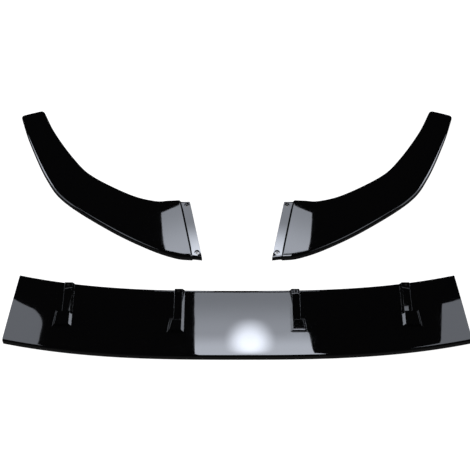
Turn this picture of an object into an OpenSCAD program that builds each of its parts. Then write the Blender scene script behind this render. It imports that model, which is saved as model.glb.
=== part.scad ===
// Front splitter lip in three gloss mouldings, a centre section and two corner sections.
// They lie apart, each on its own rim, with the front of the car toward -Y.

/* [Centre section] */
// Width across the two front corners
centre_front_w = 1084; // [960:2:1240]
// Width across the two rear corners
centre_rear_w = 1038; // [920:2:1160]
// Depth from the rear edge to the front edge, on the centreline
centre_depth = 171; // [150:1:200]
// How far the front edge falls back from its middle to its corners
front_sweep = 41; // [10:1:70]
// How far the rear edge falls back from its middle to its corners
rear_sweep = 42; // [10:1:70]
// Shape of both edges, where 2 is a parabola and more is flatter in the middle
edge_power = 2.8; // [2:0.1:4]

/* [Moulded skin] */
// Thickness of the skin
wall = 3; // [2:0.1:4]
// Height of the rear edge over the rim
rear_h = 22; // [18:0.5:30]
// Height of the nose over the rim
nose_h = 17; // [15:0.5:24]
// Outer radius between the top and the front face
nose_r = 6; // [4.5:0.1:9]
// Outer radius between the top and the rear face
rear_r = 4.5; // [4.5:0.1:8]
// How far the feet of the front and rear faces stand out from the faces' tops
face_draft = 1.2; // [0.4:0.1:3]

/* [Fixing brackets] */
// Distance of the inner pair of brackets from the centreline, at their straight side
inner_bracket_x = 124; // [90:0.5:180]
// Distance of the outer pair of brackets from the centreline, at their straight side
outer_bracket_x = 385.5; // [300:0.5:420]
// Length of a bracket, from the rear edge to the front of its box
bracket_len = 110; // [90:1:125]
// Height of the bracket's straight side over the skin
bracket_h = 6; // [4.5:0.1:9]
// Width of the strip
strip_w = 24; // [19:0.5:30]
// Height that is left at the low side of the strip
strip_low_h = 1; // [0.5:0.1:2.5]
// Width of the sloping sides
side_slope_w = 5; // [3:0.1:6]
// Width of an inner bracket's box at its rear
inner_box_w = 33; // [26:0.5:45]
// Length of an inner bracket's box
inner_box_len = 33; // [25:1:45]
// Width of an outer bracket's box at its rear
outer_box_w = 38.5; // [26:0.5:45]
// Length of an outer bracket's box
outer_box_len = 38; // [25:1:45]
// Height of the boxes over the skin
box_h = 8; // [6:0.1:11]
// How much wider a box is at its front
box_flare = 5; // [0:0.5:12]
// Length of the screw pad at the rear end
pad_len = 15; // [13:0.5:22]
// Screw hole through each pad
pad_hole_d = 6.5; // [4:0.1:8]

/* [Lapped joint] */
// Width of the stepped flange that goes under the centre section
flange_w = 21; // [19:0.5:30]
// Length over which the skin steps down
joggle_run = 4; // [2:0.5:8]
// Clearance between the lapped skins
lap_gap = 0.5; // [0.2:0.1:1]
// Screw hole through the flange
flange_hole_d = 6.5; // [4:0.1:8]
// Round recess that receives a boss of the centre section
recess_d = 13; // [11:0.1:14]
// Wall round the recess and under it
cup_wall = 2; // [1.5:0.1:2.5]
// Clearance round the boss in its recess
boss_gap = 0.5; // [0.2:0.1:1]
// Length of the boss under the skin of the centre section
boss_len = 4; // [3:0.1:6]
// Pilot hole in the boss
pilot_d = 4; // [2.5:0.1:5]
// Distance of the holes from the edge of the flange
hole_inset = 9; // [8.6:0.1:10]
// Distance of the front hole from the front corner, along the end
front_hole_inset = 21; // [17:0.5:30]
// Distance of the rear hole from the rear corner, along the end
rear_hole_inset = 14; // [13.5:0.5:25]

/* [Corner sections] */
// Reach of the front edge away from the joint
corner_reach = 392; // [340:1:450]
// Reach of the front edge to the rear, along the joint
corner_sweep = 535; // [460:1:600]
// Width at the tip
tip_w = 62; // [45:1:75]
// Height of the rear edge at the tip
tip_rear_h = 16.5; // [13.5:0.5:24]
// Height of the nose at the tip
tip_nose_h = 12.75; // [12:0.25:20]
// Radius of the tip's corners, in plan
tip_r = 8; // [4:0.5:12]

/* [Layout] */
// Turn of each corner section on the floor
corner_turn = 11.7; // [0:0.1:25]
// Clear space between the front corners of the two joint ends
corner_spacing = 168.6; // [120:0.1:260]
// Distance from the rear edge of the centre section to the corner sections
row_gap = 89; // [60:1:160]

/* [Hidden] */

gloss_black = "#111214";

// The brackets on the right: the place of the straight side, and the width and length of the box
BRACKETS = [
    [inner_bracket_x, inner_box_w, inner_box_len],
    [outer_bracket_x, outer_box_w, outer_box_len]
];

// Steps that the curves are drawn with
centre_steps = 30;
corner_steps = 5;
crown_steps = 5;
rear_steps = 3;
nose_steps = 4;
tip_steps = 3;

// Where the skins lap, the lower one is set in by the upper one's wall and the clearance
lap = wall + lap_gap;
boss_d = recess_d - 2 * boss_gap;
cup_d = recess_d + 2 * cup_wall;
cup_depth = boss_len + lap_gap;

// The end of the centre section: its length, its lean and the heading of its front edge
end_run = (centre_front_w - centre_rear_w) / 2;
end_rise = centre_depth - front_sweep + rear_sweep;
end_depth = norm([end_run, end_rise]);
end_lean = atan2(end_run, end_rise);
front_heading = atan(edge_power * front_sweep / (centre_front_w / 2)) + end_lean;

// The two screws of a joint, measured from the front corner along the end. They stand square
// to the line between their places on the crowned skin.
joint_places = [front_hole_inset, end_depth - rear_hole_inset];
joint_tilt = atan2(end_top(joint_places[1]) - end_top(joint_places[0]), joint_places[1] - joint_places[0]);

// Plan of a corner section from the joint to the tip, at its front edge: the share of the
// reach, the share of the sweep, the share of the narrowing that is left, and the heading
// of the section line
CORNER_PLAN = [
    [0.160, 0.041, 0.89, 86],
    [0.312, 0.112, 0.65, 74],
    [0.535, 0.250, 0.43, 53],
    [0.787, 0.447, 0.33, 36],
    [0.887, 0.600, 0.24, 27],
    [0.966, 0.836, 0.08, 8],
    [1.000, 1.000, 0.00, 3]
];
rear_heading = 10.5;

function mix(a, b, t) = a + (b - a) * t;
function turned(p, angle) = [p.x * cos(angle) - p.y * sin(angle), p.x * sin(angle) + p.y * cos(angle)];

// A smooth curve through the control points, with t = 0 at the second one
function spline(p, t) =
    let (i = min(floor(t), len(p) - 4), u = t - i, a = p[i], b = p[i + 1], c = p[i + 2], d = p[i + 3])
    (2 * b + (c - a) * u + (2 * a - 5 * b + 4 * c - d) * u * u + (3 * b - a - 3 * c + d) * u * u * u) / 2;

// Height of the top, where f goes from 0 at the rear edge to 1 at the front edge
function crown(f, rear, nose) = rear - (rear - nose) * f * f;
function end_top(along) = crown(1 - along / end_depth, rear_h, nose_h);

// Half of a section, from the rear foot over the top to the front foot, as [distance, height].
// The inset moves it inward at the rear, the top and the front.
function section(depth, rear, nose, inset) =
    let (
        rr = max(rear_r - inset, 0.6),
        nr = max(nose_r - inset, 0.6),
        rear_s = inset + face_draft + rr,
        nose_s = depth - inset - face_draft - nr,
        rear_z = crown(rear_s / depth, rear, nose) - inset - rr,
        nose_z = crown(nose_s / depth, rear, nose) - inset - nr
    )
    concat(
        [[inset, 0]],
        [for (k = [0:rear_steps]) let (a = 180 - 90 * k / rear_steps) [rear_s + rr * cos(a), rear_z + rr * sin(a)]],
        [for (k = [1:crown_steps - 1]) let (s = mix(rear_s, nose_s, k / crown_steps))
            [s, crown(s / depth, rear, nose) - inset]],
        [for (k = [0:nose_steps]) let (a = 90 - 90 * k / nose_steps) [nose_s + nr * cos(a), nose_z + nr * sin(a)]],
        [[depth - inset, 0]]
    );

// The same section stood between a rear and a front point of the plan
function stood(rear_p, front_p, rear, nose, inset) =
    let (depth = norm(front_p - rear_p), along = (front_p - rear_p) / depth)
    [for (q = section(depth, rear, nose, inset)) [rear_p.x + along.x * q.x, rear_p.y + along.y * q.x, q.y]];

// A skin between outer sections and the inner sections that match them.
// The first end is open, and the last is open or closed by a wall.
module skin(outer, inner, closed) {
    n = len(outer);
    m = len(outer[0]);
    function out(i, j) = i * m + j;
    function inn(i, j) = (n + i) * m + j;
    open_end = [for (j = [0:m - 2]) [out(n - 1, j), out(n - 1, j + 1), inn(n - 1, j + 1), inn(n - 1, j)]];
    tip_end = [
        [for (j = [0:m - 1]) out(n - 1, j)],
        [for (j = [m - 1:-1:0]) inn(n - 1, j)],
        [out(n - 1, 0), out(n - 1, m - 1), inn(n - 1, m - 1), inn(n - 1, 0)]
    ];
    polyhedron(
        points = concat([for (s = outer) each s], [for (s = inner) each s]),
        faces = concat(
            [for (i = [0:n - 2], j = [0:m - 2]) [out(i, j), out(i, j + 1), out(i + 1, j + 1), out(i + 1, j)]],
            [for (i = [0:n - 2], j = [0:m - 2]) [inn(i, j + 1), inn(i, j), inn(i + 1, j), inn(i + 1, j + 1)]],
            [for (i = [0:n - 2]) [out(i, 0), out(i + 1, 0), inn(i + 1, 0), inn(i, 0)]],
            [for (i = [0:n - 2]) [out(i, m - 1), inn(i, m - 1), inn(i + 1, m - 1), out(i + 1, m - 1)]],
            [for (j = [0:m - 2]) [out(0, j), inn(0, j), inn(0, j + 1), out(0, j + 1)]],
            closed ? tip_end : open_end
        ),
        convexity = 6
    );
}

// Plan of the centre section, with the middle of its rear edge at the origin.
// u goes from -1 at the left end to 1 at the right end.
function centre_rear(u) = [u * centre_rear_w / 2, rear_sweep * pow(abs(u), edge_power)];
function centre_front(u) = [u * centre_front_w / 2, front_sweep * pow(abs(u), edge_power) - centre_depth];

// Height of its top at a place in plan
function centre_top(x, y) =
    let (u = 2 * x / centre_rear_w, f = (centre_rear(u).y - y) / (centre_rear(u).y - centre_front(u).y))
    crown(f, rear_h, nose_h);

module centre_skin() {
    stations = [for (k = [0:centre_steps]) 1 - 2 * k / centre_steps];
    skin(
        [for (u = stations) stood(centre_rear(u), centre_front(u), rear_h, nose_h, 0)],
        [for (u = stations) stood(centre_rear(u), centre_front(u), rear_h, nose_h, wall)],
        closed = false
    );
}

// A block that stands on the skin: its foot and its top are [x, y, height over the skin],
// both named anticlockwise from above
module block(foot, top) {
    function on_skin(p) = [p.x, p.y, centre_top(p.x, p.y) + p.z];
    polyhedron(
        points = concat([for (p = foot) on_skin(p)], [for (p = top) on_skin(p)]),
        faces = [[0, 1, 2, 3], [7, 6, 5, 4], [0, 4, 5, 1], [1, 5, 6, 2], [2, 6, 7, 3], [3, 7, 4, 0]]
    );
}

// One bracket on the right. Inset and drop make the hollow in it.
module bracket_block(bracket, inset, drop) {
    x = bracket[0];
    rear_y = centre_rear(2 * x / centre_rear_w).y - face_draft - inset;
    foot_z = -wall / 2 - drop;
    low_z = strip_low_h - drop;
    high_z = bracket_h - drop;
    box_z = box_h - drop;
    front_y = rear_y - bracket_len + face_draft + 2 * inset;
    box_rear_y = front_y + bracket[2] - 2 * inset;
    pad_y = rear_y - pad_len + 2 * inset;
    left = x + inset;
    strip_right = x + strip_w - inset;
    box_right = x + bracket[1] - inset;
    slope = side_slope_w;
    // Strip, high at its straight side and low at the other
    block(
        [[left, front_y, foot_z], [strip_right, front_y, foot_z], [strip_right, rear_y, foot_z], [left, rear_y, foot_z]],
        [[left + slope, front_y, high_z], [strip_right, front_y, low_z],
         [strip_right, rear_y, low_z], [left + slope, rear_y, high_z]]
    );
    // Flat screw pad at the rear end
    block(
        [[left, pad_y, foot_z], [strip_right, pad_y, foot_z], [strip_right, rear_y, foot_z], [left, rear_y, foot_z]],
        [[left + slope, pad_y + 1, high_z], [strip_right - 1, pad_y + 1, high_z],
         [strip_right - 1, rear_y, high_z], [left + slope, rear_y, high_z]]
    );
    // Box at the front end, flared to the outside
    block(
        [[left, front_y, foot_z], [box_right + box_flare, front_y, foot_z],
         [box_right, box_rear_y, foot_z], [left, box_rear_y, foot_z]],
        [[left + slope, front_y + 1, box_z], [box_right + box_flare - slope, front_y + 1, box_z],
         [box_right - slope, box_rear_y - slope, box_z], [left + slope, box_rear_y - slope, box_z]]
    );
}

// The rear wall of a bracket, which runs down into the rear face of the skin
module bracket_heel(x) {
    rear_y = centre_rear(2 * x / centre_rear_w).y - face_draft;
    front_y = rear_y - wall;
    foot_z = -rear_r - wall / 2;
    right = x + strip_w;
    block(
        [[x, front_y, foot_z], [right, front_y, foot_z], [right, rear_y, foot_z], [x, rear_y, foot_z]],
        [[x + side_slope_w, front_y, bracket_h], [right - 1, front_y, bracket_h],
         [right - 1, rear_y, bracket_h], [x + side_slope_w, rear_y, bracket_h]]
    );
}

function pad_hole(x) =
    [x + (strip_w + side_slope_w) / 2, centre_rear(2 * x / centre_rear_w).y - pad_len / 2];

// Sets a shape on both screw axes of the right-hand end, with its origin on the outer skin
module at_right_screws() {
    corner = centre_front(1);
    up = (centre_rear(1) - corner) / end_depth;
    inward = [-up.y, up.x];
    for (along = joint_places) {
        p = corner + up * along + inward * (flange_w - lap_gap - hole_inset);
        translate([p.x, p.y, end_top(along)]) rotate([joint_tilt, 0, end_lean]) children();
    }
}

module right_half_brackets() {
    for (b = BRACKETS) {
        bracket_block(b, 0, 0);
        bracket_heel(b[0]);
    }
    at_right_screws() translate([0, 0, -wall - boss_len])
        cylinder(d = boss_d, h = wall / 2 + boss_len, $fn = 48);
}

module right_half_hollows() {
    for (b = BRACKETS) {
        bracket_block(b, wall, wall);
        translate([pad_hole(b[0]).x, pad_hole(b[0]).y, nose_h - 2 * wall])
            cylinder(d = pad_hole_d, h = rear_h + box_h, $fn = 48);
    }
    at_right_screws() translate([0, 0, -wall - boss_len - 1])
        cylinder(d = pilot_d, h = boss_len + 2, $fn = 32);
}

module centre_moulding() {
    difference() {
        union() {
            centre_skin();
            right_half_brackets();
            mirror([1, 0, 0]) right_half_brackets();
        }
        right_half_hollows();
        mirror([1, 0, 0]) right_half_hollows();
    }
}

// Plan of a left corner section in its own frame: the front corner of the joint end is at the
// origin, the end runs along +Y, and the piece reaches to -X and on to +Y
neck_len = flange_w + joggle_run;
function neck_front(q) = [-q, q * tan(front_heading)];
function neck_rear(q) = [-q, end_depth + q * tan(rear_heading)];
function plan_front(p) = [-corner_reach * p[0], corner_sweep * p[1]];
function plan_rear(p) = plan_front(p) + mix(tip_w, end_depth, p[2]) * [cos(p[3]), sin(p[3])];
function ahead(list) = 2 * list[len(list) - 1] - list[len(list) - 2];

FRONT_POINTS = concat([neck_front(0), neck_front(neck_len)], [for (p = CORNER_PLAN) plan_front(p)]);
REAR_POINTS = concat([neck_rear(0), neck_rear(neck_len)], [for (p = CORNER_PLAN) plan_rear(p)]);
FRONT_RAIL = concat(FRONT_POINTS, [ahead(FRONT_POINTS)]);
REAR_RAIL = concat(REAR_POINTS, [ahead(REAR_POINTS)]);
span_count = len(CORNER_PLAN);
last_span_len = norm(FRONT_POINTS[len(FRONT_POINTS) - 1] - FRONT_POINTS[len(FRONT_POINTS) - 2]);

// Stations of the skin. On the neck: [distance from the end, inset]. On the body: t.
NECK_STATIONS = [[0, lap], [flange_w, lap]];
BODY_STATIONS = [for (k = [0:span_count * corner_steps - 1]) k / corner_steps];
// At the tip: [distance from the tip, how far the outline is drawn in]
TIP_STATIONS = [for (k = [0:tip_steps]) let (a = 90 * k / tip_steps) [tip_r * (1 - sin(a)), tip_r * (1 - cos(a))]];

function neck_section(q, inset) = stood(neck_rear(q), neck_front(q), rear_h, nose_h, inset);
function body_section(t, drawn_in, inset) =
    let (
        f = spline(FRONT_RAIL, t), r = spline(REAR_RAIL, t), along = (f - r) / norm(f - r),
        share = t / span_count, drop = drawn_in / 3
    )
    stood(r + along * drawn_in, f - along * drawn_in,
          mix(rear_h, tip_rear_h, share) - drop, mix(nose_h, tip_nose_h, share) - drop, inset);
function corner_sections(inset) = concat(
    [for (s = NECK_STATIONS) neck_section(s[0], s[1] + inset)],
    [for (t = BODY_STATIONS) body_section(t, 0, inset)],
    [for (s = TIP_STATIONS) body_section(span_count - (s[0] + inset) / last_span_len, s[1], inset)]
);

// Sets a shape on both screw axes of the flange, with its origin where the outer skin of the
// centre section will lie, so that both mouldings are drilled on the same axes
module at_flange_screws() {
    for (along = joint_places) {
        translate([-hole_inset, along, end_top(along)]) rotate([joint_tilt, 0, 0]) children();
    }
}

module corner_moulding() {
    floor_z = -lap - cup_depth;
    difference() {
        union() {
            skin(corner_sections(0), corner_sections(wall), closed = true);
            at_flange_screws() translate([0, 0, floor_z - cup_wall])
                cylinder(d = cup_d, h = cup_depth + cup_wall - wall / 2, $fn = 48);
        }
        at_flange_screws() {
            translate([0, 0, floor_z]) cylinder(d = recess_d, h = 2 * cup_depth, $fn = 48);
            translate([0, 0, floor_z - cup_wall - 1]) cylinder(d = flange_hole_d, h = cup_depth + cup_wall, $fn = 48);
        }
    }
}

// Places on the floor: the outline of all three pieces is centred on the origin
tip_y = max([for (s = corner_sections(0), p = s) turned(p, corner_turn).y]) + row_gap;
rear_shift = (centre_depth - tip_y) / 2;

module placed_corner() {
    translate([-corner_spacing / 2, rear_shift + row_gap, 0]) rotate([0, 0, corner_turn]) corner_moulding();
}

module centre_section() {
    color(gloss_black) translate([0, rear_shift, 0]) centre_moulding();
}

module left_corner() {
    color(gloss_black) placed_corner();
}

module right_corner() {
    color(gloss_black) mirror([1, 0, 0]) placed_corner();
}

centre_section();
left_corner();
right_corner();
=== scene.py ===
import math

import bmesh
import bpy
from mathutils import Euler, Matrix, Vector


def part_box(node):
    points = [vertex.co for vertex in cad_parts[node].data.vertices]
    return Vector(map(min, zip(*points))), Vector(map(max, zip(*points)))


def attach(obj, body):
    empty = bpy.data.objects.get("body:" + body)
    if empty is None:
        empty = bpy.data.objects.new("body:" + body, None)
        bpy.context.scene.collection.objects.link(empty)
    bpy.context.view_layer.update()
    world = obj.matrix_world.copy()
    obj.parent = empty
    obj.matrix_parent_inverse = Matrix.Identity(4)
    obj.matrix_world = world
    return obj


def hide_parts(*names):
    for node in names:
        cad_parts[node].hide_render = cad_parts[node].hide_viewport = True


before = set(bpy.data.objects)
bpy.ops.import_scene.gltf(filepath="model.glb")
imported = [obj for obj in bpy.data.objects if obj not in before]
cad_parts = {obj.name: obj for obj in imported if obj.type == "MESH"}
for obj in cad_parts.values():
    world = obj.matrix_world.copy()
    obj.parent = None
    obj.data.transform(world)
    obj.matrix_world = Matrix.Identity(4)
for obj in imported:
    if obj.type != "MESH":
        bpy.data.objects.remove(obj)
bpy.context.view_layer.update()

# Centre section, in metres as everywhere below
CENTRE_FRONT_W = 1.084
CENTRE_REAR_W = 1.038
CENTRE_DEPTH = 0.171
FRONT_SWEEP = 0.041
REAR_SWEEP = 0.042
EDGE_POWER = 2.8

# Moulded skin
WALL = 0.003
REAR_H = 0.022
NOSE_H = 0.017
NOSE_R = 0.006
REAR_R = 0.0045
FACE_DRAFT = 0.0012
EDGE_R = 0.0004

# Fixing brackets
INNER_BRACKET_X = 0.124
OUTER_BRACKET_X = 0.3855
BRACKET_LEN = 0.110
BRACKET_H = 0.006
STRIP_W = 0.024
STRIP_LOW_H = 0.001
SIDE_SLOPE_W = 0.005
INNER_BOX_W = 0.033
INNER_BOX_LEN = 0.033
OUTER_BOX_W = 0.0385
OUTER_BOX_LEN = 0.038
BOX_H = 0.008
BOX_FLARE = 0.005
PAD_LEN = 0.015
PAD_STEP = 0.001
PAD_HOLE_R = 0.00325

# Lapped joint
FLANGE_W = 0.021
JOGGLE_RUN = 0.004
LAP_GAP = 0.0005
FLANGE_HOLE_R = 0.00325
RECESS_R = 0.0065
CUP_WALL = 0.002
BOSS_GAP = 0.0005
BOSS_LEN = 0.004
PILOT_R = 0.002
HOLE_INSET = 0.009
FRONT_HOLE_INSET = 0.021
REAR_HOLE_INSET = 0.014

# Corner sections
CORNER_REACH = 0.392
CORNER_SWEEP = 0.535
TIP_W = 0.062
TIP_SHARE_OF_HEIGHT = 0.75
TIP_R = 0.008
CORNER_TURN = math.radians(11.7)
CORNER_SPACING = 0.1686
ROW_GAP = 0.089
REAR_HEADING = math.radians(10.5)

# Plan of a corner section at its front edge: the share of the reach, the share of the sweep, the
# share of the narrowing that is left, and the heading of the section line in degrees
CORNER_PLAN = [
    (0.160, 0.041, 0.89, 86),
    (0.312, 0.112, 0.65, 74),
    (0.535, 0.250, 0.43, 53),
    (0.787, 0.447, 0.33, 36),
    (0.887, 0.600, 0.24, 27),
    (0.966, 0.836, 0.08, 8),
    (1.000, 1.000, 0.00, 3),
]

# How finely the skins are drawn. The rows of the centre section are measured from its rear edge,
# and the rows of a corner section are shares of its width. The columns fan out beyond FAN_X.
COLUMN_STEP = 0.014
STEP_SLACK = 0.01
SPAN_STEPS = 8
STRIP_ROWS = (0.030, 0.045, 0.060)
BOX_ROW = 0.096
NOSE_ROWS = (0.125, 0.140, 0.155)
CORNER_ROWS = (0.18, 0.34, 0.5, 0.66, 0.82)
FAN_X = 0.440
NECK_COLUMNS = 3
NECK_R = 1.1 * WALL
ROUND_SEGMENTS = 6
EDGE_SEGMENTS = 2
SHARP_ANGLE = math.radians(24)
SMOOTH_ANGLE = math.radians(40)
HOLE_SIDES = 64
HAIR = 0.00001

# How the faces at a tip are told apart, by the parts of their normals along Y and Z
TIP_FACE_Y = 0.9
SIDE_FACE_Y = 0.5
TOP_FACE_Z = 0.7
UPRIGHT_FACE_Z = 0.4

# Worked out from the sizes and from the frame
rear_line_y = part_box("centre_section")[1].y - REAR_SWEEP
lap = WALL + LAP_GAP
boss_r = RECESS_R - BOSS_GAP
cup_r = RECESS_R + CUP_WALL
cup_depth = BOSS_LEN + LAP_GAP
end_run = (CENTRE_FRONT_W - CENTRE_REAR_W) / 2
end_rise = CENTRE_DEPTH - FRONT_SWEEP + REAR_SWEEP
end_depth = math.hypot(end_run, end_rise)
end_lean = math.atan2(end_run, end_rise)
front_heading = math.atan(EDGE_POWER * FRONT_SWEEP / (CENTRE_FRONT_W / 2)) + end_lean


def crown(share):
    """Height of the top, where share goes from 0 at the rear edge to 1 at the front edge."""
    return REAR_H - (REAR_H - NOSE_H) * share ** 2


def end_top(along):
    """Height of the top at a joint, measured from the front corner along the end."""
    return crown(1 - along / end_depth)


joint_places = (FRONT_HOLE_INSET, end_depth - REAR_HOLE_INSET)
joint_tilt = math.atan2(
    end_top(joint_places[1]) - end_top(joint_places[0]), joint_places[1] - joint_places[0])


# Modelling by hand in edit mode

def start_clean():
    """Nothing stays selected, so that an operator acts on the new piece alone."""
    if bpy.context.object and bpy.context.object.mode != "OBJECT":
        bpy.ops.object.mode_set(mode="OBJECT")
    bpy.ops.object.select_all(action="DESELECT")


class Sheet:
    """A skin that starts as a flat grid, one unit from vertex to vertex, and is then set in place.

    Columns run along the piece and rows across it. The plan keeps the column, the row and
    whether it is raised for each vertex, so that places can be picked at any time.
    """

    def __init__(self, name, columns, rows):
        start_clean()
        bpy.ops.mesh.primitive_grid_add(x_subdivisions=columns - 1, y_subdivisions=rows - 1, size=1)
        self.piece = bpy.context.object
        self.piece.name = name
        self.last_column = columns - 1
        self.last_row = rows - 1
        bpy.ops.object.mode_set(mode="EDIT")
        bpy.context.tool_settings.mesh_select_mode = (True, False, False)
        bpy.ops.transform.translate(value=(0.5, -0.5, 0))
        bpy.ops.transform.resize(value=(self.last_column, self.last_row, 1), center_override=(0, 0, 0))
        self.read_plan()

    def read_plan(self):
        mesh = bmesh.from_edit_mesh(self.piece.data)
        self.plan = [(round(v.co.x), round(-v.co.y), v.co.z > 0.5) for v in mesh.verts]

    def raise_faces(self, wanted):
        """Extrudes the cells whose first column and first row pass the test."""
        bpy.ops.mesh.select_all(action="DESELECT")
        mesh = bmesh.from_edit_mesh(self.piece.data)
        for face in mesh.faces:
            middle = face.calc_center_median()
            face.select = wanted(math.floor(middle.x), math.floor(-middle.y))
        bmesh.update_edit_mesh(self.piece.data)
        bpy.ops.mesh.extrude_region_move(TRANSFORM_OT_translate={"value": (0, 0, 1)})
        self.read_plan()

    def pick(self, wanted):
        bpy.ops.mesh.select_all(action="DESELECT")
        mesh = bmesh.from_edit_mesh(self.piece.data)
        for vertex in mesh.verts:
            vertex.select = wanted(*self.plan[vertex.index])
        mesh.select_flush(True)
        bmesh.update_edit_mesh(self.piece.data)

    def shift(self, wanted, value):
        self.pick(wanted)
        bpy.ops.transform.translate(value=value)

    def set_rows(self, shares):
        """Brings each row to its share of the depth, and up to the crown between the two feet."""
        for row, share in enumerate(shares):
            height = 0 if row in (0, self.last_row) else crown(share)
            self.shift(lambda c, r, raised: r == row, (0, row - share, height))

    def set_section(self, column, rear, front, rise=1, drop=0):
        """Stands one column between a rear and a front point of the plan."""
        along = front - rear
        lean = math.atan2(along.x, -along.y)
        foot = (column, 0, 0)
        self.pick(lambda c, r, raised: c == column)
        bpy.ops.transform.resize(value=(1, along.length, rise), center_override=foot)
        bpy.ops.transform.rotate(value=-lean, orient_axis="Z", center_override=foot)
        bpy.ops.transform.translate(value=(rear.x - column, rear.y, 0))
        if drop:
            self.shift(lambda c, r, raised: c == column and 0 < r < self.last_row, (0, 0, -drop))

    def weigh(self, wanted, weight):
        """Marks the edges between picked neighbours for rounding."""
        self.pick(wanted)
        bpy.ops.transform.edge_bevelweight(value=weight)

    def done(self):
        bpy.ops.mesh.select_all(action="SELECT")
        bpy.ops.mesh.normals_make_consistent(inside=False)
        bpy.ops.mesh.select_all(action="DESELECT")
        bpy.ops.object.mode_set(mode="OBJECT")
        return self.piece


def modify(piece, kind, **settings):
    """Adds a modifier and applies it."""
    start_clean()
    bpy.context.view_layer.objects.active = piece
    piece.select_set(True)
    modifier = piece.modifiers.new(kind.title(), kind)
    for setting, value in settings.items():
        setattr(modifier, setting, value)
    bpy.ops.object.modifier_apply(modifier=modifier.name)


def round_long_edges(piece):
    """Rounds the marked edges, each by its share of the radius of the nose."""
    modify(piece, "BEVEL", limit_method="WEIGHT", width=NOSE_R, segments=ROUND_SEGMENTS,
           use_clamp_overlap=False, loop_slide=False)


def ease_sharp_edges(piece):
    """Breaks the edges that are still sharp, as a moulding tool leaves them."""
    modify(piece, "BEVEL", limit_method="ANGLE", angle_limit=SHARP_ANGLE, width=EDGE_R,
           segments=EDGE_SEGMENTS, use_clamp_overlap=False, loop_slide=False)


def give_wall(piece, **limits):
    """Thickens the skin inward and sets its rim flat on the floor."""
    modify(piece, "SOLIDIFY", thickness=WALL, offset=-1, use_even_offset=True,
           use_quality_normals=True, **limits)
    start_clean()
    bpy.context.view_layer.objects.active = piece
    bpy.ops.object.mode_set(mode="EDIT")
    mesh = bmesh.from_edit_mesh(piece.data)
    for vertex in mesh.verts:
        vertex.select = abs(vertex.co.z) < WALL / 4
    mesh.select_flush(True)
    bmesh.update_edit_mesh(piece.data)
    bpy.ops.transform.resize(value=(1, 1, 0), center_override=(0, 0, 0))
    bpy.ops.object.mode_set(mode="OBJECT")


def draw_in(piece, node):
    """Takes up the hair's breadth by which the rounder curves of a piece leave the box of its solid."""
    start_clean()
    bpy.context.view_layer.objects.active = piece
    bpy.ops.object.mode_set(mode="EDIT")
    bpy.ops.mesh.select_all(action="SELECT")
    for axis in range(3):
        for side, other in (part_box(node), reversed(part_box(node))):
            mesh = bmesh.from_edit_mesh(piece.data)
            span = side[axis] - other[axis]
            reach = max((v.co[axis] - other[axis]) / span for v in mesh.verts)
            if reach > 1:
                scale = Vector((1, 1, 1))
                scale[axis] = (1 - HAIR / abs(span)) / reach
                bpy.ops.transform.resize(value=scale, center_override=other)
    bpy.ops.object.mode_set(mode="OBJECT")


def stand_cylinder(place, turn, radius, bottom, top):
    """A cylinder from bottom to top over a place, along an axis that is turned there."""
    start_clean()
    middle = Vector((0, 0, (bottom + top) / 2))
    middle.rotate(turn)
    bpy.ops.mesh.primitive_cylinder_add(
        vertices=HOLE_SIDES, radius=radius, depth=top - bottom, location=place + middle, rotation=turn)
    return bpy.context.object


def combine(piece, others, operation):
    for other in others:
        modify(piece, "BOOLEAN", object=other, operation=operation, solver="EXACT")
        bpy.data.objects.remove(other)


def finish_surface(piece):
    """Smooth shading that leaves the flat faces flat."""
    start_clean()
    bpy.context.view_layer.objects.active = piece
    piece.select_set(True)
    bpy.ops.object.shade_smooth_by_angle(angle=SMOOTH_ANGLE)
    modify(piece, "WEIGHTED_NORMAL", keep_sharp=True)


# Centre section

def centre_rear(x):
    return Vector((x, rear_line_y + REAR_SWEEP * (abs(x) / (CENTRE_REAR_W / 2)) ** EDGE_POWER))


def centre_front(x):
    swept = FRONT_SWEEP * (abs(x) / (CENTRE_FRONT_W / 2)) ** EDGE_POWER
    return Vector((x, rear_line_y - CENTRE_DEPTH + swept))


def spread(places, step):
    """Fills the gaps between places evenly, with no gap wider than the step."""
    filled = [places[0]]
    for low, high in zip(places, places[1:]):
        parts = math.ceil((high - low) / step - STEP_SLACK)
        filled += [low + (high - low) * part / parts for part in range(1, parts)] + [high]
    return filled


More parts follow.
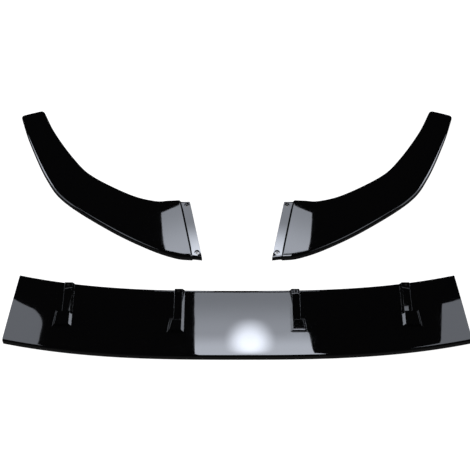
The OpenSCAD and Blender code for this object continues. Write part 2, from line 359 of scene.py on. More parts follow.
def shape_bracket(sheet, columns, rows, x, box_w, box_len, box_row):
    """Gives a raised strip and box their slopes. The box starts at its foot in box_row."""
    inboard, outboard, box_side = (columns.index(place) for place in (x, x + STRIP_W, x + box_w))
    step_row = rows.index(PAD_LEN)
    front_row = rows.index(BRACKET_LEN)
    box_rise = BOX_H - BRACKET_H
    strip_fall = BRACKET_H - STRIP_LOW_H
    foot_place = rows[box_row]

    def at(column, first_row, last_row):
        return lambda c, r, raised: raised and c == column and first_row <= r <= last_row

    sheet.shift(at(inboard, 1, front_row), (SIDE_SLOPE_W, 0, 0))
    sheet.shift(at(outboard, 1, step_row - 1), (-PAD_STEP, 0, 0))
    sheet.shift(at(outboard, step_row, box_row), (0, 0, -strip_fall))
    for column in (inboard, outboard, box_side):
        sheet.shift(at(column, box_row + 1, front_row), (0, 0, box_rise))
    sheet.shift(at(box_side, box_row + 1, front_row), (-SIDE_SLOPE_W, 0, 0))
    # The box slopes down to the rear, and the strip runs into that slope
    sheet.shift(at(box_side, box_row, box_row), (-SIDE_SLOPE_W, 0, box_rise))
    for column, row, run in (
            (box_side, box_row, SIDE_SLOPE_W), (box_side, box_row + 1, SIDE_SLOPE_W / 2),
            (inboard, box_row, SIDE_SLOPE_W * BRACKET_H / BOX_H),
            (outboard, box_row, SIDE_SLOPE_W * STRIP_LOW_H / BOX_H)):
        fall = crown(rows[row] / CENTRE_DEPTH) - crown((rows[row] + run) / CENTRE_DEPTH)
        sheet.shift(at(column, row, row), (0, -run, -fall))
    sheet.shift(
        lambda c, r, raised: raised and inboard <= c <= box_side and r == front_row, (0, PAD_STEP, 0))
    # The box widens to the front
    for row in range(box_row + 1, front_row + 1):
        flare = BOX_FLARE * (rows[row] - foot_place) / box_len
        sheet.shift(lambda c, r, raised: c == box_side and r == row, (flare, 0, 0))
    # The bracket stands square, although the rear edge is curved
    for column, place, first_row in ((outboard, x + STRIP_W, 1), (box_side, x + box_w, box_row)):
        run = centre_rear(place).y - centre_rear(x).y
        for row in range(first_row, front_row + 1):
            fall = crown(rows[row] / CENTRE_DEPTH) - crown((rows[row] + run) / CENTRE_DEPTH)
            sheet.shift(
                lambda c, r, raised: (c, r) == (column, row) and (raised or r >= box_row),
                (0, -run, -fall))
    # A fold across the rear corner of the box, between its slope and its top
    sheet.pick(lambda c, r, raised: raised and (c, r) in ((outboard, box_row + 1), (box_side, box_row)))
    bpy.ops.mesh.vert_connect()


def model_centre():
    inner_foot = BRACKET_LEN - INNER_BOX_LEN
    outer_foot = BRACKET_LEN - OUTER_BOX_LEN
    rows = [
        0, FACE_DRAFT, PAD_LEN - PAD_STEP, PAD_LEN, *STRIP_ROWS,
        outer_foot, inner_foot, inner_foot + SIDE_SLOPE_W, BOX_ROW, BRACKET_LEN,
        *NOSE_ROWS, CENTRE_DEPTH - FACE_DRAFT, CENTRE_DEPTH,
    ]
    end_x = CENTRE_REAR_W / 2
    columns = [0]
    for x, box_w in ((INNER_BRACKET_X, INNER_BOX_W), (OUTER_BRACKET_X, OUTER_BOX_W)):
        # A strip is one cell wide, and so is the part of the box beside it
        columns += spread([columns[-1], x], COLUMN_STEP)[1:] + [x + STRIP_W, x + box_w]
    columns += spread([columns[-1], FAN_X, end_x], COLUMN_STEP)[1:]
    brackets = (
        (INNER_BRACKET_X, INNER_BOX_W, INNER_BOX_LEN, rows.index(inner_foot)),
        (OUTER_BRACKET_X, OUTER_BOX_W, OUTER_BOX_LEN, rows.index(outer_foot)),
    )

    sheet = Sheet("centre_moulding", len(columns), len(rows))

    def in_bracket(column, row):
        for x, box_w, box_len, box_row in brackets:
            width = box_w if row >= box_row else STRIP_W
            if x <= columns[column] < x + width - EDGE_R and 1 <= row < rows.index(BRACKET_LEN):
                return True
        return False

    sheet.raise_faces(in_bracket)
    sheet.shift(lambda c, r, raised: raised, (0, 0, BRACKET_H - 1))
    sheet.set_rows([place / CENTRE_DEPTH for place in rows])
    fan = (CENTRE_FRONT_W / 2 - FAN_X) / (end_x - FAN_X)
    for column, x in enumerate(columns):
        front_x = x if x <= FAN_X else FAN_X + (x - FAN_X) * fan
        sheet.set_section(column, centre_rear(x), centre_front(front_x))
    for x, box_w, box_len, box_row in brackets:
        shape_bracket(sheet, columns, rows, x, box_w, box_len, box_row)

    sheet.weigh(lambda c, r, raised: r == sheet.last_row - 1, 1)
    stretch_starts = [0] + [columns.index(x + STRIP_W) for x in (INNER_BRACKET_X, OUTER_BRACKET_X)]
    stretch_ends = [columns.index(x) for x in (INNER_BRACKET_X, OUTER_BRACKET_X)] + [sheet.last_column]
    for first, last in zip(stretch_starts, stretch_ends):
        sheet.weigh(lambda c, r, raised: r == 1 and not raised and first <= c <= last, REAR_R / NOSE_R)
    moulding = sheet.done()

    modify(moulding, "MIRROR", use_axis=(True, False, False), merge_threshold=EDGE_R / 10)
    round_long_edges(moulding)
    # The wall is thinner where the small folds of the brackets leave it no room
    give_wall(moulding, thickness_clamp=2, use_thickness_angle_clamp=True)
    ease_sharp_edges(moulding)
    add_bosses(moulding)
    drill_pads(moulding)
    draw_in(moulding, "centre_section")
    finish_surface(moulding)
    return moulding


def end_screw_axes():
    """Place and turn of the four screw axes at the ends, on the outer skin."""
    corner = centre_front(CENTRE_FRONT_W / 2)
    up = (centre_rear(CENTRE_REAR_W / 2) - corner) / end_depth
    inward = Vector((-up.y, up.x))
    for along in joint_places:
        place = corner + up * along + inward * (FLANGE_W - LAP_GAP - HOLE_INSET)
        for side in (1, -1):
            turn = Euler((joint_tilt, 0, side * end_lean))
            yield Vector((side * place.x, place.y, end_top(along))), turn


def add_bosses(moulding):
    """Screw bosses under the ends, with pilot holes from below."""
    axes = list(end_screw_axes())
    bosses = [stand_cylinder(place, turn, boss_r, -WALL - BOSS_LEN, -WALL / 2) for place, turn in axes]
    combine(moulding, bosses, "UNION")
    pilots = [stand_cylinder(place, turn, PILOT_R, -WALL - 2 * BOSS_LEN, -WALL) for place, turn in axes]
    combine(moulding, pilots, "DIFFERENCE")


def drill_pads(moulding):
    level = Euler((0, 0, 0))
    drills = []
    for x in (INNER_BRACKET_X, OUTER_BRACKET_X):
        middle_x = x + (STRIP_W + SIDE_SLOPE_W) / 2
        for side in (1, -1):
            place = Vector((side * middle_x, centre_rear(x).y - PAD_LEN / 2, REAR_H))
            drills.append(stand_cylinder(place, level, PAD_HOLE_R, -2 * WALL, 2 * BRACKET_H))
    combine(moulding, drills, "DIFFERENCE")


# Corner sections. The left one is modelled with the front corner of its joint end at the
# origin, the end along +Y and the piece reaching to -X.

def mix(start, end, share):
    return start + (end - start) * share


def neck_points(q):
    """Rear and front point of the plan at a distance from the joint end."""
    rear = Vector((-q, end_depth + q * math.tan(REAR_HEADING)))
    return rear, Vector((-q, q * math.tan(front_heading)))


def plan_points(row):
    reach, sweep, narrowing, heading = row
    front = Vector((-CORNER_REACH * reach, CORNER_SWEEP * sweep))
    line = Vector((math.cos(math.radians(heading)), math.sin(math.radians(heading))))
    return front + mix(TIP_W, end_depth, narrowing) * line, front


control_pairs = [neck_points(0), neck_points(FLANGE_W + JOGGLE_RUN)]
control_pairs += [plan_points(row) for row in CORNER_PLAN]
rear_rail, front_rail = ([pair[side] for pair in control_pairs] for side in (0, 1))
for rail in (rear_rail, front_rail):
    rail.append(2 * rail[-1] - rail[-2])
span_count = len(CORNER_PLAN)


def spline(rail, t):
    """A smooth curve through the control points, with t = 0 at the second one."""
    i = min(int(t), len(rail) - 4)
    u = t - i
    a, b, c, d = rail[i:i + 4]
    bend = 2 * a - 5 * b + 4 * c - d
    twist = 3 * b - a - 3 * c + d
    return (2 * b + (c - a) * u + bend * u ** 2 + twist * u ** 3) / 2


def corner_stations():
    """Rear point, front point, rise and drop of every column, from the joint to the tip."""
    for q in (0, FLANGE_W / 2, FLANGE_W):
        rear, front = neck_points(q)
        inward = (front - rear).normalized() * lap
        yield rear + inward, front - inward, 1, lap
    # The column next to the tip is left out, to make room for the tip's rounded corners
    last_step = span_count * SPAN_STEPS
    for step in [*range(last_step - 1), last_step]:
        t = step / SPAN_STEPS
        rise = mix(1, TIP_SHARE_OF_HEIGHT, t / span_count)
        yield spline(rear_rail, t), spline(front_rail, t), rise, 0


def close_tip(sheet, from_y):
    """A wall across the last column, with rounded corners in plan and a marked top edge."""
    tip = sheet.last_column
    sheet.pick(lambda c, r, raised: c == tip)
    bpy.ops.mesh.edge_face_add()
    bpy.ops.mesh.select_all(action="SELECT")
    bpy.ops.mesh.normals_make_consistent(inside=False)
    bpy.context.tool_settings.mesh_select_mode = (False, True, False)
    bpy.ops.mesh.select_all(action="DESELECT")
    mesh = bmesh.from_edit_mesh(sheet.piece.data)
    for edge in mesh.edges:
        foot, top = sorted(edge.verts, key=lambda v: v.co.z)
        upright = top.co.z - foot.co.z > 2 * (top.co - foot.co).xy.length
        edge.select_set(upright and foot.co.y > from_y and len(edge.link_faces) == 2
                        and min(face.normal.y for face in edge.link_faces) < SIDE_FACE_Y
                        and max(face.normal.y for face in edge.link_faces) > TIP_FACE_Y)
    bmesh.update_edit_mesh(sheet.piece.data)
    bpy.ops.mesh.bevel(offset=TIP_R, segments=ROUND_SEGMENTS, affect="EDGES")
    bpy.ops.mesh.select_all(action="DESELECT")
    mesh = bmesh.from_edit_mesh(sheet.piece.data)
    for edge in mesh.edges:
        levels = sorted(abs(face.normal.z) for face in edge.link_faces)
        edge.select_set(len(levels) == 2 and levels[0] < UPRIGHT_FACE_Z and levels[1] > TOP_FACE_Z
                        and min(vertex.co.y for vertex in edge.verts) > from_y)
    bmesh.update_edit_mesh(sheet.piece.data)
    bpy.ops.transform.edge_bevelweight(value=-1)
    bpy.ops.transform.edge_bevelweight(value=REAR_R / NOSE_R)


def model_left_corner():
    draft_share = FACE_DRAFT / end_depth
    shares = [0, draft_share, *CORNER_ROWS, 1 - draft_share, 1]
    stations = list(corner_stations())
    sheet = Sheet("left_moulding", len(stations), len(shares))
    nose, heel = sheet.last_row - 1, 1
    sheet.set_rows(shares)
    for column, (rear, front, rise, drop) in enumerate(stations):
        sheet.set_section(column, rear, front, rise, drop)

    for row in (nose, heel):
        sheet.weigh(lambda c, r, raised: r == row and c < NECK_COLUMNS, NECK_R / NOSE_R)
    # The radius of the nose eases into the smaller one that goes round the tip
    easing_from = sheet.last_column - SPAN_STEPS
    sheet.weigh(lambda c, r, raised: r == nose and NECK_COLUMNS - 1 <= c <= easing_from, 1)
    for start in range(easing_from, sheet.last_column):
        eased = mix(1, REAR_R / NOSE_R, (start + 1 - easing_from) / SPAN_STEPS)
        sheet.weigh(lambda c, r, raised: r == nose and start <= c <= start + 1, eased)
    sheet.weigh(lambda c, r, raised: r == heel and c >= NECK_COLUMNS - 1, REAR_R / NOSE_R)
    close_tip(sheet, max(point.y for point in stations[-2][:2]) - TIP_R / 10)
    moulding = sheet.done()

    round_long_edges(moulding)
    give_wall(moulding)
    cut_joint_end_flat(moulding)
    ease_sharp_edges(moulding)
    bore_flange(moulding)
    place_on_floor(moulding)
    draw_in(moulding, "left_corner")
    finish_surface(moulding)
    return moulding


def cut_joint_end_flat(moulding):
    """The rim of the wall at the joint end is flush with the end of the skin."""
    start_clean()
    bpy.context.view_layer.objects.active = moulding
    bpy.ops.object.mode_set(mode="EDIT")
    mesh = bmesh.from_edit_mesh(moulding.data)
    for vertex in mesh.verts:
        vertex.select = abs(vertex.co.x) < WALL
    mesh.select_flush(True)
    bmesh.update_edit_mesh(moulding.data)
    bpy.ops.transform.resize(value=(0, 1, 1), center_override=(0, 0, 0))
    bpy.ops.object.mode_set(mode="OBJECT")


def bore_flange(moulding):
    """Cups for the bosses of the centre section, each with a screw hole in its floor."""
    floor_z = -lap - cup_depth
    turn = Euler((joint_tilt, 0, 0))
    places = [Vector((-HOLE_INSET, along, end_top(along))) for along in joint_places]
    cups = [stand_cylinder(p, turn, cup_r, floor_z - CUP_WALL, -lap - WALL / 2) for p in places]
    combine(moulding, cups, "UNION")
    recesses = [stand_cylinder(p, turn, RECESS_R, floor_z, floor_z + 2 * cup_depth) for p in places]
    holes = [stand_cylinder(p, turn, FLANGE_HOLE_R, floor_z - 2 * CUP_WALL, 0) for p in places]
    combine(moulding, recesses + holes, "DIFFERENCE")


def place_on_floor(moulding):
    start_clean()
    bpy.context.view_layer.objects.active = moulding
    moulding.select_set(True)
    moulding.location = (-CORNER_SPACING / 2, rear_line_y + ROW_GAP, 0)
    moulding.rotation_euler = (0, 0, CORNER_TURN)
    bpy.ops.object.transform_apply(location=True, rotation=True, scale=True)


def mirrored_copy(moulding, name):
    start_clean()
    bpy.context.view_layer.objects.active = moulding
    moulding.select_set(True)
    bpy.ops.object.duplicate()
    copy = bpy.context.object
    copy.name = name
    bpy.ops.object.mode_set(mode="EDIT")
    bpy.ops.mesh.select_all(action="SELECT")
    bpy.ops.transform.resize(value=(-1, 1, 1), center_override=(0, 0, 0))
    bpy.ops.mesh.normals_make_consistent(inside=False)
    bpy.ops.object.mode_set(mode="OBJECT")
    finish_surface(copy)
    return copy


# Materials

PLASTIC_BLACK = (0.0018, 0.0018, 0.002, 1)
PLASTIC_IOR = 1.5
WAVE_SCALE = 22
PEEL_SCALE = 420
PEEL_SHARE = 0.02
RELIEF_HEIGHT = 0.00006
# Roughness of the polished top where its haze is thin and thick, and what the underside adds
TOP_ROUGHNESS = (0.025, 0.045)
HAZE_RANGE = (0.3, 0.7)
UNDERSIDE_ROUGHNESS = 0.42
# The upward part of the normal, from the underside to the upright faces
UNDERSIDE_RANGE = (-0.6, -0.2)


def map_range(nodes, low, high, at_low, at_high):
    """Adds a node that turns one range of values into another."""
    node = nodes.new("ShaderNodeMapRange")
    sockets = ("From Min", "From Max", "To Min", "To Max")
    for socket, value in zip(sockets, (low, high, at_low, at_high)):
        node.inputs[socket].default_value = value
    return node


def moulding_relief():
    """Group: the slow waves and the fine peel that a polished tool leaves on plastic."""
    group = bpy.data.node_groups.new("moulding_relief", "ShaderNodeTree")
    for name in ("Wave scale", "Peel scale", "Peel share"):
        group.interface.new_socket(name, in_out="INPUT", socket_type="NodeSocketFloat")
    for name in ("Height", "Haze"):
        group.interface.new_socket(name, in_out="OUTPUT", socket_type="NodeSocketFloat")
    nodes, link = group.nodes, group.links.new
    given = nodes.new("NodeGroupInput")
    result = nodes.new("NodeGroupOutput")
    place = nodes.new("ShaderNodeTexCoord").outputs["Object"]
    wave = nodes.new("ShaderNodeTexNoise")
    peel = nodes.new("ShaderNodeTexNoise")
    wave.inputs["Detail"].default_value = 1
    peel.inputs["Detail"].default_value = 2
    for noise, scale in ((wave, "Wave scale"), (peel, "Peel scale")):
        link(place, noise.inputs["Vector"])
        link(given.outputs[scale], noise.inputs["Scale"])
    blend = nodes.new("ShaderNodeMix")
    link(given.outputs["Peel share"], blend.inputs["Factor"])
    link(wave.outputs["Fac"], blend.inputs["A"])
    link(peel.outputs["Fac"], blend.inputs["B"])
    link(blend.outputs["Result"], result.inputs["Height"])
    link(wave.outputs["Fac"], result.inputs["Haze"])
    return group


def gloss_black_plastic():
    material = bpy.data.materials.new("gloss_black_plastic")
    material.use_nodes = True
    nodes, link = material.node_tree.nodes, material.node_tree.links.new
    shader = nodes["Principled BSDF"]
    shader.inputs["Base Color"].default_value = PLASTIC_BLACK
    shader.inputs["IOR"].default_value = PLASTIC_IOR
    relief = nodes.new("ShaderNodeGroup")
    relief.node_tree = moulding_relief()
    relief.inputs["Wave scale"].default_value = WAVE_SCALE
    relief.inputs["Peel scale"].default_value = PEEL_SCALE
    relief.inputs["Peel share"].default_value = PEEL_SHARE
    bump = nodes.new("ShaderNodeBump")
    bump.inputs["Strength"].default_value = 1
    bump.inputs["Distance"].default_value = RELIEF_HEIGHT
    link(relief.outputs["Height"], bump.inputs["Height"])
    link(bump.outputs["Normal"], shader.inputs["Normal"])
    # Polished on top, and left as the tool made it on the underside
    face = nodes.new("ShaderNodeNewGeometry")
    split = nodes.new("ShaderNodeSeparateXYZ")
    link(face.outputs["Normal"], split.inputs["Vector"])
    hidden = map_range(nodes, *UNDERSIDE_RANGE, UNDERSIDE_ROUGHNESS, 0)
    link(split.outputs["Z"], hidden.inputs["Value"])
    haze = map_range(nodes, *HAZE_RANGE, *TOP_ROUGHNESS)
    link(relief.outputs["Haze"], haze.inputs["Value"])
    total = nodes.new("ShaderNodeMath")
    total.operation = "ADD"
    link(hidden.outputs["Result"], total.inputs[0])
    link(haze.outputs["Result"], total.inputs[1])
    link(total.outputs["Value"], shader.inputs["Roughness"])
    return material


# Camera

CAMERA_ELEVATION = math.radians(58.24)
CAMERA_DISTANCE = 2.372
CAMERA_AIM = Vector((-0.005, -0.022, 0))
IMAGE_SIZE = 470
FOCAL_PIXELS = 956.5


def set_camera():
    data = bpy.data.cameras.new("camera")
    camera = bpy.data.objects.new("camera", data)
    bpy.context.scene.collection.objects.link(camera)
    data.lens = data.sensor_width * FOCAL_PIXELS / IMAGE_SIZE
    back = Vector((0, -math.cos(CAMERA_ELEVATION), math.sin(CAMERA_ELEVATION)))
    camera.location = CAMERA_AIM + back * CAMERA_DISTANCE
    camera.rotation_euler = (math.pi / 2 - CAMERA_ELEVATION, 0, 0)
    bpy.context.scene.camera = camera


# Studio. The bright patches of the photograph are soft boxes that the gloss shows. A card is
# placed by following the view through the corners of its patch and off the skin. Corners are
# given in the order rear left, rear right, front right, front left.

DAYLIGHT = (0.84, 0.89, 1.0)
CARD_HEIGHT = 0.45
LOWER_CARD_HEIGHT = 0.40
CARD_LAP = 0.003

# Patches, in pixels of the photograph
CENTRE_PATCH = ((194.7, 296), (286.0, 296), (286.0, 332.5), (194.7, 332.5))
CENTRE_FRONT_PATCH = ((194.7, 332.5), (308.6, 332.5), (312.5, 349), (194.7, 349))
PAD_PATCH = ((294.0, 289.5), (297.8, 289.5), (297.8, 292.3), (294.0, 292.3))
CORNER_PATCH = ((162.5, 212.2), (178.0, 206.0), (188.0, 247), (165.5, 244))
FLANGE_PATCH = ((188, 216), (191, 216), (196, 237), (193, 237))
LEFT_END_PATCH = ((24, 304.5), (45, 315.5), (38.7, 340), (12, 336))
RIGHT_END_PATCH = ((442.3, 304), (455, 300.5), (463, 333), (441.3, 336))
HOT_SPOT = (250, 340)
HOT_SPOT_SIDE = (278, 340)
HOT_SPOT_REAR = (250, 316)
HOT_SPOT_CORE = 0.18

# How far the cards reach past their patches
NOSE_REACH = 0.4
CENTRE_CARD_REACH = {"rear": 0.03, "right": 0.012, "front": CARD_LAP}
CORNER_CARD_REACH = {"front": 0.03, "left": 0.004, "right": 0.03}
FLANGE_CARD_REACH = {"rear": 0.08, "front": 0.07, "left": 0.012, "right": 0.05}
END_CARD_REACH = 0.15
END_CARD_ROUNDING = 0.045

# Strengths of the cards, from the rear to the front. The light over a flange changes between two
# shares of the side of its patch.
CENTRE_STRENGTHS = (4.5, 7.3, 11.5)
HOT_SPOT_STRENGTH = 18
PAD_STRENGTH = 3.5
CORNER_STRENGTHS = (6, 9.2)
FLANGE_STRENGTHS = (5.5, 20)
FLANGE_SHARES = (0.25, 1.9)
END_STRENGTH = 3.2

# Upright cards at the sides: name, rear end, front end, and the strengths at the foot and the top
SIDE_CARD_X = 1
SIDE_CARD_FOOT = 0.04
SIDE_CARD_RISE = 0.48
SIDE_CARDS = (("rear", 0.43, 0.2, 4, 14), ("front", 0.19, -0.2, 2.4, 2.4))

# The room in the gloss, at the horizon and from ROOM_TOP up, and the daylight outside the gloss
ROOM_LIGHT = (0.009, 0.0005)
ROOM_TOP = 0.5
PLAIN_LIGHT = 0.5

FLOOR_SIZE = 16
FLOOR_COLOR = (0.4, 0.4, 0.4, 1)
FLOOR_GLOW = 0.88
FLOOR_IN_GLOSS = 0.06
# Painted shade on the floor: how far the ambient occlusion reaches, and the range of it that darkens
# the glow
SHADE_DISTANCE = 0.05
SHADE_RANGE = (0.1, 0.5)

LAMP_SIZE = (3, 2)
LAMP_POWER = 40
LAMP_PLACE = Vector((-0.6, 0.5, 3))


def photo_ray(pixel):
    """Direction from the camera through a point of the photograph."""
    u, v = pixel
    middle = IMAGE_SIZE / 2
    ray = Vector(((u - middle) / FOCAL_PIXELS, (middle - v) / FOCAL_PIXELS, -1))
    ray.rotate(bpy.context.scene.camera.rotation_euler)
    return ray.normalized()


def shown_at(pixel, piece, height=CARD_HEIGHT):
    """The place at the height of a card that the gloss of a piece shows at a pixel."""
    ray = photo_ray(pixel)
    _, place, normal, _ = piece.ray_cast(bpy.context.scene.camera.location, ray)
    way = ray - 2 * ray.dot(normal) * normal
    return place + way * (height - place.z) / way.z


def stretch(corners, rear=0, front=0, left=0, right=0):
    """Moves the sides of a card outward along its other sides."""
    rear_left, rear_right, front_right, front_left = corners
    left_line = (rear_left - front_left).normalized()
    right_line = (rear_right - front_right).normalized()
    rear_left, front_left = rear_left + left_line * rear, front_left - left_line * front
    rear_right, front_right = rear_right + right_line * rear, front_right - right_line * front
    rear_line = (rear_right - rear_left).normalized()
    front_line = (front_right - front_left).normalized()
    return (rear_left - rear_line * left, rear_right + rear_line * right,
            front_right + front_line * right, front_left - front_line * left)


def across(points):
    """The same places on the right side of the object."""
    return [Vector((-point.x, point.y, point.z)) for point in points]


def card_light(name, start, start_strength, end, end_strength, spot=None):
    """Light of a card that eases from a start to an end, with a soft round lamp in it if given."""
    material = bpy.data.materials.new(name)
    material.use_nodes = True
    nodes, link = material.node_tree.nodes, material.node_tree.links.new
    nodes.remove(nodes["Principled BSDF"])
    light = nodes.new("ShaderNodeEmission")
    light.inputs["Color"].default_value = (*DAYLIGHT, 1)
    place = nodes.new("ShaderNodeTexCoord").outputs["Object"]

    def offset(operation, point, from_output):
        step = nodes.new("ShaderNodeVectorMath")
        step.operation = operation
        step.inputs[1].default_value = point
        link(from_output, step.inputs[0])
        return step

    def eased(value, low, high, at_low, at_high):
        change = map_range(nodes, low, high, at_low, at_high)
        change.interpolation_type = "SMOOTHSTEP"
        link(value, change.inputs["Value"])
        return change.outputs["Result"]

    way = end - start
    from_start = offset("SUBTRACT", start, place)
    along = offset("DOT_PRODUCT", way / way.length_squared, from_start.outputs["Vector"])
    strength = eased(along.outputs["Value"], 0, 1, start_strength, end_strength)
    if spot:
        middle, radii, glow = spot
        from_middle = offset("SUBTRACT", middle, place)
        in_radii = offset("DIVIDE", radii, from_middle.outputs["Vector"])
        distance = nodes.new("ShaderNodeVectorMath")
        distance.operation = "LENGTH"
        link(in_radii.outputs["Vector"], distance.inputs[0])
        total = nodes.new("ShaderNodeMath")
        total.operation = "ADD"
        link(strength, total.inputs[0])
        link(eased(distance.outputs["Value"], HOT_SPOT_CORE, 1, glow, 0), total.inputs[1])
        strength = total.outputs["Value"]
    link(strength, light.inputs["Strength"])
    link(light.outputs["Emission"], nodes["Material Output"].inputs["Surface"])
    return material


def hang_card(name, corners, fade, spot=None, rounding=0):
    """A soft box between four corners. It shows in the gloss and lights nothing else.

    The fade gives a start, the strength there, an end and the strength there. The rounding is
    for the rear right corner.
    """
    sheet = Sheet(name, 2, 2)
    for cell, corner in zip(((0, 0), (1, 0), (1, 1), (0, 1)), corners):
        sheet.shift(lambda c, r, raised: (c, r) == cell, corner - Vector((cell[0], -cell[1], 0)))
    if rounding:
        sheet.pick(lambda c, r, raised: (c, r) == (1, 0))
        bpy.ops.mesh.bevel(offset=rounding, segments=ROUND_SEGMENTS, affect="VERTICES")
    card = sheet.done()
    card.data.materials.append(card_light(name + "_light", *fade, spot))
    card.visible_camera = False
    card.visible_diffuse = False
    card.visible_shadow = False


def hang_centre_cards(moulding):
    """A card over the middle, and one in front of it that reaches past the right inner bracket.

    A small third one lights the pad of that bracket.
    """
    rear = [shown_at(pixel, moulding, CARD_HEIGHT + CARD_LAP) for pixel in CENTRE_PATCH]
    front = [shown_at(pixel, moulding) for pixel in CENTRE_FRONT_PATCH]
    pad = [shown_at(pixel, moulding) for pixel in PAD_PATCH]
    middle = shown_at(HOT_SPOT, moulding)
    width = abs(shown_at(HOT_SPOT_SIDE, moulding).x - middle.x)
    depth = abs(shown_at(HOT_SPOT_REAR, moulding).y - middle.y)
    spot = (middle, (width, depth, 1), HOT_SPOT_STRENGTH)
    at_rear, at_middle, at_front = CENTRE_STRENGTHS
    hang_card("centre_card", stretch(rear, **CENTRE_CARD_REACH),
              (rear[0], at_rear, rear[3], at_middle), spot)
    hang_card("centre_front_card", stretch(front, front=NOSE_REACH),
              (rear[3], at_middle, front[3], at_front), spot)
    hang_card("pad_card", stretch(pad, CARD_LAP, CARD_LAP, CARD_LAP, CARD_LAP),
              (pad[0], PAD_STRENGTH, pad[3], PAD_STRENGTH))


def hang_corner_cards(left_moulding):
    """A card over the joint end of each corner section, and a brighter one over its flange."""
    top = [shown_at(pixel, left_moulding) for pixel in CORNER_PATCH]
    flange = [shown_at(pixel, left_moulding, LOWER_CARD_HEIGHT) for pixel in FLANGE_PATCH]
    cards = (
        ("_card", stretch(top, **CORNER_CARD_REACH), (top[0], top[2]), CORNER_STRENGTHS),
        ("_flange_card", stretch(flange, **FLANGE_CARD_REACH),
         [flange[0].lerp(flange[3], share) for share in FLANGE_SHARES], FLANGE_STRENGTHS),
    )
    for side, place in (("left", list), ("right", across)):
        for name, corners, ends, (low, high) in cards:
            start, end = place(ends)
            hang_card(side + name, place(corners), (start, low, end, high))


def hang_end_cards(moulding):
    """A card over each end of the centre section. The left one has a rounded corner."""
    for side, patch, rounding in (
            ("left", LEFT_END_PATCH, END_CARD_ROUNDING), ("right", RIGHT_END_PATCH, 0)):
        places = [shown_at(pixel, moulding) for pixel in patch]
        corners = stretch(places, front=NOSE_REACH, **{side: END_CARD_REACH})
        fade = (places[0], END_STRENGTH, places[2], END_STRENGTH)
        hang_card(side + "_end_card", corners, fade, rounding=rounding)


def hang_side_cards():
    """Upright cards beside the object, which draw thin lines of light.

    The rear ones show in the inboard sides of the inner brackets, and the dimmer front ones in
    the outboard sides of the brackets and along the noses of the corner sections.
    """
    rise = Vector((0, 0, SIDE_CARD_RISE))
    for side, x in (("left", -SIDE_CARD_X), ("right", SIDE_CARD_X)):
        for name, rear_y, front_y, low, high in SIDE_CARDS:
            rear, front = (Vector((x, y, SIDE_CARD_FOOT)) for y in (rear_y, front_y))
            corners = (rear + rise, rear, front, front + rise)
            hang_card(side + "_side_" + name + "_card", corners, (front, low, front + rise, high))


def light_world():
    """White behind the object, plain daylight on it, and a dark room in the gloss."""
    world = bpy.data.worlds.new("studio")
    bpy.context.scene.world = world
    world.use_nodes = True
    nodes, link = world.node_tree.nodes, world.node_tree.links.new
    background = nodes["Background"]
    rays = nodes.new("ShaderNodeLightPath")
    place = nodes.new("ShaderNodeTexCoord")
    split = nodes.new("ShaderNodeSeparateXYZ")
    link(place.outputs["Generated"], split.inputs["Vector"])
    room = map_range(nodes, 0, ROOM_TOP, *ROOM_LIGHT)
    link(split.outputs["Z"], room.inputs["Value"])
    background.inputs["Color"].default_value = (1, 1, 1, 1)
    plain = nodes.new("ShaderNodeMix")
    plain.inputs["A"].default_value = PLAIN_LIGHT
    link(rays.outputs["Is Glossy Ray"], plain.inputs["Factor"])
    link(room.outputs["Result"], plain.inputs["B"])
    shown = nodes.new("ShaderNodeMix")
    shown.inputs["B"].default_value = 1
    link(rays.outputs["Is Camera Ray"], shown.inputs["Factor"])
    link(plain.outputs["Result"], shown.inputs["A"])
    link(shown.outputs["Result"], background.inputs["Strength"])


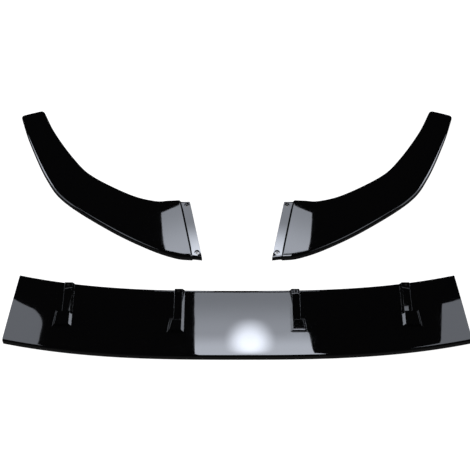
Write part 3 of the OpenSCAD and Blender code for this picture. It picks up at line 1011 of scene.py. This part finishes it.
def floor_material():
    """White to the camera with a faint shadow, partly real and partly painted shade from ambient
    occlusion, and dark in the gloss, as in the photograph.
    """
    material = bpy.data.materials.new("floor")
    material.use_nodes = True
    nodes, link = material.node_tree.nodes, material.node_tree.links.new
    shader = nodes["Principled BSDF"]
    shader.inputs["Base Color"].default_value = FLOOR_COLOR
    shader.inputs["Roughness"].default_value = 1
    shader.inputs["Specular IOR Level"].default_value = 0
    white = nodes.new("ShaderNodeEmission")
    white.inputs["Strength"].default_value = FLOOR_GLOW
    # Painted shade: ambient occlusion darkens the floor's glow under the hollow mouldings, where a
    # screw hole shows it
    cover = nodes.new("ShaderNodeAmbientOcclusion")
    cover.inputs["Distance"].default_value = SHADE_DISTANCE
    painted_shade_factor = map_range(nodes, *SHADE_RANGE, 0, 1)
    link(cover.outputs["AO"], painted_shade_factor.inputs["Value"])
    link(painted_shade_factor.outputs["Result"], white.inputs["Color"])
    both = nodes.new("ShaderNodeAddShader")
    link(shader.outputs["BSDF"], both.inputs[0])
    link(white.outputs["Emission"], both.inputs[1])
    dark = nodes.new("ShaderNodeEmission")
    dark.inputs["Strength"].default_value = FLOOR_IN_GLOSS
    rays = nodes.new("ShaderNodeLightPath")
    mixed = nodes.new("ShaderNodeMixShader")
    link(rays.outputs["Is Glossy Ray"], mixed.inputs["Fac"])
    link(both.outputs["Shader"], mixed.inputs[1])
    link(dark.outputs["Emission"], mixed.inputs[2])
    link(mixed.outputs["Shader"], nodes["Material Output"].inputs["Surface"])
    return material


def lay_floor():
    start_clean()
    bpy.ops.mesh.primitive_plane_add(size=FLOOR_SIZE)
    floor = bpy.context.object
    floor.name = "floor"
    floor.data.materials.append(floor_material())


def hang_key_lamp():
    """A wide soft lamp over the object, for the plain light. The gloss doesn't show it."""
    data = bpy.data.lights.new("key_lamp", "AREA")
    data.shape = "RECTANGLE"
    data.size, data.size_y = LAMP_SIZE
    data.energy = LAMP_POWER
    lamp = bpy.data.objects.new("key_lamp", data)
    bpy.context.scene.collection.objects.link(lamp)
    lamp.location = LAMP_PLACE
    lamp.rotation_euler = LAMP_PLACE.to_track_quat("Z", "Y").to_euler()
    lamp.visible_glossy = False
    lamp.visible_camera = False


def dress(piece, node, material):
    piece.data.materials.clear()
    piece.data.materials.append(material)
    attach(piece, "root")
    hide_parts(node)


set_camera()
gloss = gloss_black_plastic()
left = model_left_corner()
dress(mirrored_copy(left, "right_moulding"), "right_corner", gloss)
dress(left, "left_corner", gloss)
centre = model_centre()
dress(centre, "centre_section", gloss)
bpy.context.view_layer.update()
hang_centre_cards(centre)
hang_corner_cards(left)
hang_end_cards(centre)
hang_side_cards()
lay_floor()
light_world()
hang_key_lamp()
bpy.context.scene.view_settings.view_transform = "Standard"
